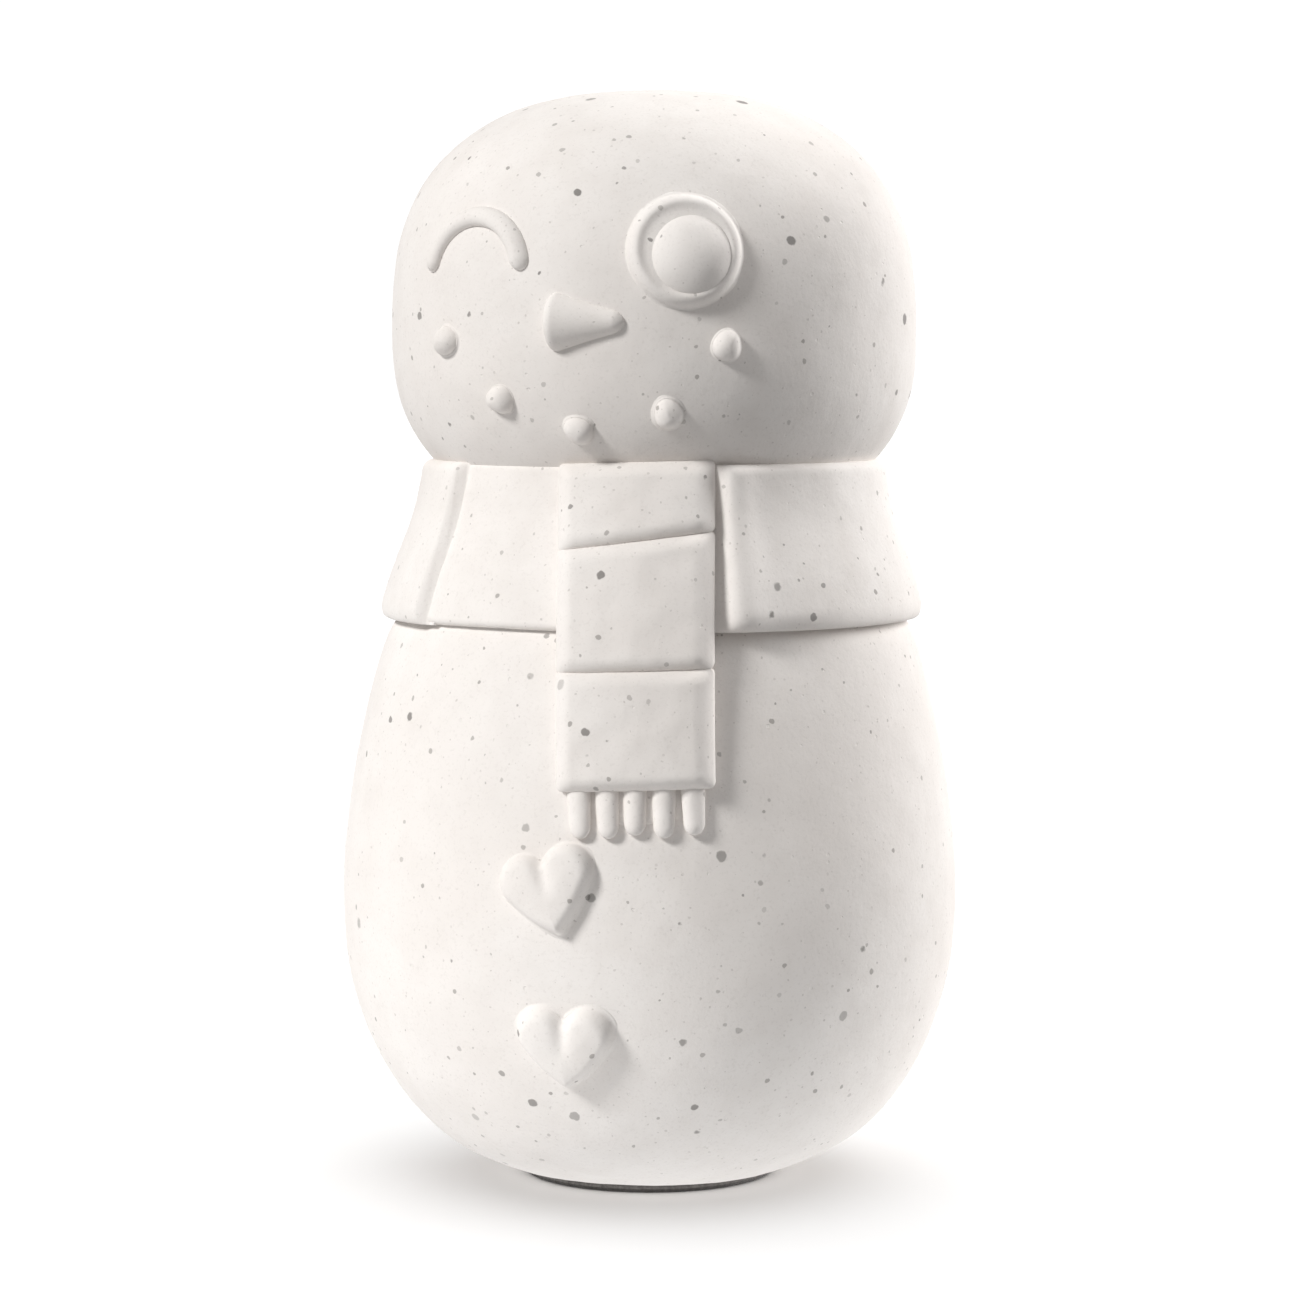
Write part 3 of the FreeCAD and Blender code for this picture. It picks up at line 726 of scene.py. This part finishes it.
def heart_pieces():
    outline = heart(HEART_W, HEART_H, HEART_LOBE)
    for name, phi, z, turn in HEARTS:
        place = Place(body_radius, phi, z, turn=turn)

        def pillow(flat, distance):
            edge = shoulder(distance, HEART_UP - 0.55, 1.35)
            crown = HEART_CROWN * (1 - np.exp(-distance / 1.8))
            between = np.exp(-(flat[:, 0] / 0.9) ** 2) * np.clip((flat[:, 1] + 1.0) / 3.6, 0, 1)
            return edge + crown - HEART_CREASE * between * np.clip(distance / 0.4, 0, 1)

        relief_piece(f"heart_{name}", place, outline, pillow, [f"heart_button_{name}"],
                     depth=1.6, centre=(0.0, 0.6))


# ---- materials -----------------------------------------------------------------------------
class Nodes:
    """Short hand for wiring a material."""

    def __init__(self, name):
        self.material = bpy.data.materials.new(name)
        self.material.use_nodes = True
        self.tree = self.material.node_tree
        self.shader = self.tree.nodes["Principled BSDF"]
        self.place = self.tree.nodes.new("ShaderNodeTexCoord").outputs["Object"]

    def node(self, kind, inputs=(), **settings):
        made = self.tree.nodes.new(kind)
        for key, value in settings.items():
            setattr(made, key, value)
        for key, value in dict(inputs).items():
            if isinstance(value, bpy.types.NodeSocket):
                self.tree.links.new(value, made.inputs[key])
            else:
                made.inputs[key].default_value = value
        return made

    def math(self, operation, a, b=0.0, c=0.0):
        made = self.node("ShaderNodeMath", operation=operation)
        for socket, value in zip(made.inputs, (a, b, c)):
            if isinstance(value, bpy.types.NodeSocket):
                self.tree.links.new(value, socket)
            else:
                socket.default_value = value
        return made.outputs[0]

    def noise(self, scale, detail=3.0, roughness=0.5, at=None):
        made = self.node("ShaderNodeTexNoise", {"Vector": at or self.place, "Scale": scale,
                                                "Detail": detail, "Roughness": roughness})
        return made.outputs["Fac"]

    def ramp(self, value, low, high, out_low=0.0, out_high=1.0):
        made = self.node("ShaderNodeMapRange", {"Value": value, "From Min": low, "From Max": high,
                                                "To Min": out_low, "To Max": out_high},
                         interpolation_type="SMOOTHSTEP")
        return made.outputs["Result"]

    def mix(self, factor, a, b):
        made = self.node("ShaderNodeMix", data_type="RGBA")
        for socket, value in ((made.inputs[0], factor), (made.inputs[6], a), (made.inputs[7], b)):
            if isinstance(value, bpy.types.NodeSocket):
                self.tree.links.new(value, socket)
            else:
                socket.default_value = value
        return made.outputs[2]

    def specks(self, cell, radius, share, seed):
        """Round grains: one to a cell of that many millimetres, in that share of the cells."""
        shift = (seed, seed * 0.7, seed * 1.3)
        shifted = self.node("ShaderNodeVectorMath", {0: self.place, 1: shift},
                            operation="ADD").outputs[0]
        wobble = self.node("ShaderNodeTexNoise", {"Vector": shifted, "Scale": 1100.0,
                                                  "Detail": 2.0})
        bent = self.node("ShaderNodeVectorMath", {0: wobble.outputs["Color"], 1: (0.5, 0.5, 0.5)},
                         operation="SUBTRACT").outputs[0]
        scaled = self.node("ShaderNodeVectorMath", {0: bent, "Scale": 0.0005},
                           operation="SCALE").outputs[0]
        at = self.node("ShaderNodeVectorMath", {0: shifted, 1: scaled}, operation="ADD").outputs[0]
        cells = self.node("ShaderNodeTexVoronoi", {"Vector": at, "Scale": 1 / (cell * MM),
                                                   "Randomness": 1.0})
        parts = self.node("ShaderNodeSeparateColor", {"Color": cells.outputs["Color"]})
        chosen = self.math("LESS_THAN", parts.outputs[0], share)
        size = self.math("MULTIPLY_ADD", parts.outputs[1],
                         0.65 * radius / cell, 0.35 * radius / cell)
        inner = self.math("MULTIPLY", size, 0.72)
        dot = self.ramp(cells.outputs["Distance"], inner, size, 1.0, 0.0)
        depth = self.math("MULTIPLY_ADD", parts.outputs[2], 0.6, 0.4)
        return self.math("MULTIPLY", self.math("MULTIPLY", dot, chosen), depth)


# Colours of the coat, linear: three tones of the base, and the grains from dust to large.
WARM, PALE, DULL = (0.800, 0.762, 0.732, 1), (0.852, 0.824, 0.800, 1), (0.74, 0.70, 0.668, 1)
TOOTH = (0.60, 0.565, 0.535, 1)
# Grains: cell and largest radius in millimetres, share of cells, seed, strength, colour.
GRAINS = ((0.95, 0.20, 0.50, 0.613, 0.40, (0.36, 0.325, 0.30, 1)),
          (2.1, 0.42, 0.42, 0.419, 0.70, (0.24, 0.22, 0.205, 1)),
          (4.6, 0.80, 0.40, 0.271, 0.82, (0.14, 0.13, 0.122, 1)),
          (9.0, 1.15, 0.40, 0.113, 0.90, (0.10, 0.092, 0.088, 1)))
BUMP_GRAIN, BUMP_PITS = 0.000045, -0.00009      # heights in metres
BUMP_MEDIUM, BUMP_WAVES = 0.00004, 0.00007


def coat_material():
    """Matte mineral coat: warm white with grains of several sizes and a fine tooth."""
    n = Nodes("speckled_mineral_coat")
    cloud = n.noise(26.0, 4.0, 0.55)
    fine_cloud = n.noise(190.0, 3.0, 0.6)
    colour = n.mix(n.ramp(cloud, 0.30, 0.72), WARM, PALE)
    colour = n.mix(n.ramp(fine_cloud, 0.35, 0.75, 0.0, 0.35), colour, DULL)
    tooth = n.noise(2400.0, 2.0, 0.6)
    colour = n.mix(n.ramp(tooth, 0.52, 0.74, 0.0, 0.22), colour, TOOTH)
    specks = []
    for cell, radius, share, seed, strength, tint in GRAINS:
        specks.append(n.specks(cell, radius, share, seed))
        colour = n.mix(n.math("MULTIPLY", specks[-1], strength), colour, tint)
    medium = specks[2]
    n.tree.links.new(colour, n.shader.inputs["Base Color"])

    rough = n.ramp(n.noise(420.0, 3.0), 0.3, 0.7, 0.80, 0.93)
    n.tree.links.new(rough, n.shader.inputs["Roughness"])
    n.shader.inputs["Specular IOR Level"].default_value = 0.28

    grain = n.noise(1500.0, 4.0, 0.62)
    pits = n.specks(1.7, 0.26, 0.30, 0.877)
    height = n.math("MULTIPLY_ADD", grain, BUMP_GRAIN, 0.0)
    height = n.math("MULTIPLY_ADD", pits, BUMP_PITS, height)
    height = n.math("MULTIPLY_ADD", medium, BUMP_MEDIUM, height)
    height = n.math("MULTIPLY_ADD", n.noise(330.0, 3.0), BUMP_WAVES, height)
    bump = n.node("ShaderNodeBump", {"Height": height, "Strength": 0.8, "Distance": 1.0})
    n.tree.links.new(bump.outputs["Normal"], n.shader.inputs["Normal"])
    return n.material


def felt_painted_shadow_material():
    """Pressed felt pad; its near-black colour is painted shade standing in for the contact shadow
    along the foot.
    """
    n = Nodes("felt_with_painted_contact_shadow")
    fibre = n.noise(1800.0, 5.0, 0.7)
    cloud = n.noise(160.0, 3.0)
    # Painted shade: these dark felt tones stand in for the contact shadow under the foot's edge.
    colour = n.mix(n.ramp(fibre, 0.3, 0.7), (0.10, 0.094, 0.09, 1), (0.21, 0.198, 0.19, 1))
    colour = n.mix(n.ramp(cloud, 0.35, 0.7, 0.0, 0.4), colour, (0.14, 0.13, 0.125, 1))
    n.tree.links.new(colour, n.shader.inputs["Base Color"])
    n.shader.inputs["Roughness"].default_value = 0.95
    n.shader.inputs["Sheen Weight"].default_value = 0.3
    n.shader.inputs["Sheen Roughness"].default_value = 0.5
    height = n.math("MULTIPLY", fibre, 0.00012)
    bump = n.node("ShaderNodeBump", {"Height": height, "Strength": 0.9, "Distance": 1.0})
    n.tree.links.new(bump.outputs["Normal"], n.shader.inputs["Normal"])
    return n.material


def birch_material():
    """Pale dowel wood, its grain running along each pin."""
    n = Nodes("birch_dowel")
    stretch = n.node("ShaderNodeMapping", {"Vector": n.place, "Scale": (900.0, 900.0, 60.0)})
    grain = n.node("ShaderNodeTexNoise", {"Vector": stretch.outputs[0], "Scale": 1.0,
                                          "Detail": 5.0})
    fibre = grain.outputs["Fac"]
    colour = n.mix(n.ramp(fibre, 0.3, 0.7), (0.56, 0.41, 0.25, 1), (0.72, 0.57, 0.38, 1))
    n.tree.links.new(colour, n.shader.inputs["Base Color"])
    n.tree.links.new(n.ramp(fibre, 0.3, 0.7, 0.55, 0.75), n.shader.inputs["Roughness"])
    bump = n.node("ShaderNodeBump", {"Height": fibre, "Strength": 0.2, "Distance": 0.0002})
    n.tree.links.new(bump.outputs["Normal"], n.shader.inputs["Normal"])
    return n.material


def dress(objects, material):
    for thing in objects:
        thing.data.materials.clear()
        thing.data.materials.append(material)


# ---- studio --------------------------------------------------------------------------------
# The camera, in metres: its angle from the front, distance, height, and where it aims.
VIEW_PHI, VIEW_DISTANCE, VIEW_HEIGHT = 18.5, 0.512, 0.1063
VIEW_AIM_Z, VIEW_AIM_LEFT, VIEW_LENS = 0.0687, 0.0006, 110.2
FLOOR_HALF = 6.0
ROOM_BELOW, ROOM_ABOVE = 0.20, 0.37     # strength of the room's light from each end
ROOM_SEEN = 1.05                        # and of the white that the camera sees
# Softboxes: angle from the front, height and softness in degrees, power, colour.
KEY = dict(phi=VIEW_PHI - 56, elevation=35, softness=14, power=2.72, colour=(1.0, 0.99, 0.975))
RIM = dict(phi=VIEW_PHI + 114, elevation=22, softness=36, power=3.7, colour=(1.0, 0.985, 0.975))
FLOOR_DOME = dict(phi=VIEW_PHI + 180, elevation=86, softness=96, power=3.0, colour=(1, 1, 1))
BOUNCE_SIZE, BOUNCE_ENERGY, BOUNCE_PLACE = 0.26, 0.125, (-0.06, -0.03, 0.0005)


def make_camera():
    phi = math.radians(VIEW_PHI)
    camera = bpy.data.objects.new("camera", bpy.data.cameras.new("camera"))
    camera.data.lens = VIEW_LENS
    camera.data.clip_start = 0.01
    out = Vector((math.sin(phi), -math.cos(phi), 0))
    side = Vector((math.cos(phi), math.sin(phi), 0))
    camera.location = out * VIEW_DISTANCE + Vector((0, 0, VIEW_HEIGHT))
    aim = Vector((0, 0, VIEW_AIM_Z)) - side * VIEW_AIM_LEFT
    camera.rotation_euler = (aim - camera.location).to_track_quat("-Z", "Y").to_euler()
    bpy.context.scene.collection.objects.link(camera)
    bpy.context.scene.camera = camera


def sun(name, phi, elevation, softness, power, colour):
    """Distant softbox, placed by its angle from the front and its height, in degrees."""
    phi, up = math.radians(phi), math.radians(elevation)
    out = Vector((math.sin(phi) * math.cos(up), -math.cos(phi) * math.cos(up), math.sin(up)))
    data = bpy.data.lights.new(name, "SUN")
    data.angle, data.energy, data.color = math.radians(softness), power, colour
    lamp = bpy.data.objects.new(name, data)
    lamp.rotation_euler = (-out).to_track_quat("-Z", "Y").to_euler()
    bpy.context.scene.collection.objects.link(lamp)
    return lamp


def light_only(lamp, things, shine):
    """Let a lamp shine on these things only, or on everything but them."""
    group = bpy.data.collections.new(f"lit_by_{lamp.name}")
    for thing in things:
        group.objects.link(thing)
    lamp.light_linking.receiver_collection = group
    for entry in group.collection_objects:
        entry.light_linking.link_state = "INCLUDE" if shine else "EXCLUDE"


def make_floor():
    n = Nodes("pale_floor")
    n.shader.inputs["Base Color"].default_value = (0.93, 0.93, 0.93, 1)
    n.shader.inputs["Roughness"].default_value = 0.9
    corners = [(x * FLOOR_HALF, y * FLOOR_HALF, 0) for x, y in ((-1, -1), (1, -1), (1, 1), (-1, 1))]
    mesh = bpy.data.meshes.new("floor")
    mesh.from_pydata(corners, [], [(0, 1, 2, 3)])
    mesh.materials.append(n.material)
    floor = bpy.data.objects.new("floor", mesh)
    bpy.context.scene.collection.objects.link(floor)
    floor.visible_diffuse = False
    floor.visible_shadow = False
    return floor


def make_world():
    """White room to the camera; as a light, bright overhead and dim towards the floor."""
    world = bpy.data.worlds.new("studio")
    bpy.context.scene.world = world
    world.use_nodes = True
    tree = world.node_tree
    back = tree.nodes["Background"]
    back.inputs["Color"].default_value = (1.0, 0.985, 0.975, 1)
    place = tree.nodes.new("ShaderNodeTexCoord")
    split = tree.nodes.new("ShaderNodeSeparateXYZ")
    tree.links.new(place.outputs["Generated"], split.inputs[0])
    level = tree.nodes.new("ShaderNodeMapRange")
    for socket, value in (("From Min", -1.0), ("From Max", 1.0), ("To Min", ROOM_BELOW),
                          ("To Max", ROOM_ABOVE)):
        level.inputs[socket].default_value = value
    tree.links.new(split.outputs["Z"], level.inputs["Value"])
    tree.links.new(level.outputs["Result"], back.inputs["Strength"])
    seen = tree.nodes.new("ShaderNodeBackground")
    seen.inputs["Color"].default_value = (1, 1, 1, 1)
    seen.inputs["Strength"].default_value = ROOM_SEEN
    path = tree.nodes.new("ShaderNodeLightPath")
    mix = tree.nodes.new("ShaderNodeMixShader")
    tree.links.new(path.outputs["Is Camera Ray"], mix.inputs[0])
    tree.links.new(back.outputs[0], mix.inputs[1])
    tree.links.new(seen.outputs[0], mix.inputs[2])
    tree.links.new(mix.outputs[0], tree.nodes["World Output"].inputs[0])


def make_table_bounce():
    """Light that the pale table throws back up at the figure's left side."""
    glow = bpy.data.lights.new("table_bounce", "AREA")
    glow.shape, glow.size, glow.energy = "DISK", BOUNCE_SIZE, BOUNCE_ENERGY
    card = bpy.data.objects.new("table_bounce", glow)
    card.location = BOUNCE_PLACE
    card.rotation_euler = (math.pi, 0, 0)
    card.visible_camera = False
    bpy.context.scene.collection.objects.link(card)


def make_studio():
    """The figure and the floor are lit apart, so each keeps its own shading."""
    make_camera()
    floor = make_floor()
    make_world()
    key = sun("key", **KEY)
    rim = sun("rim", **RIM)
    make_table_bounce()
    dome = sun("floor_dome", **FLOOR_DOME)
    for lamp in (key, rim):
        light_only(lamp, [floor], False)
    light_only(dome, [floor], True)
    scene = bpy.context.scene
    scene.view_settings.view_transform = "Standard"
    scene.view_settings.look = "None"


# ---- assembly ------------------------------------------------------------------------------
def main():
    before = set(bpy.data.objects)
    body_piece()
    head_piece()
    pad = pad_piece()
    collar_piece()
    wrap_piece()
    tail_pieces()
    fringe_piece()
    eye_pieces()
    wink_piece()
    nose_piece()
    coal_pieces()
    heart_pieces()
    made = [o for o in bpy.data.objects if o not in before]
    dress([o for o in made if o is not pad], coat_material())
    # The pad's dark felt colour is painted contact shadow under the foot.
    dress([pad], felt_painted_shadow_material())
    birch = birch_material()
    dress([frame["nodes"][name] for name in ("neck_dowel", "tail_pins", "heart_pins")], birch)
    make_studio()


main()
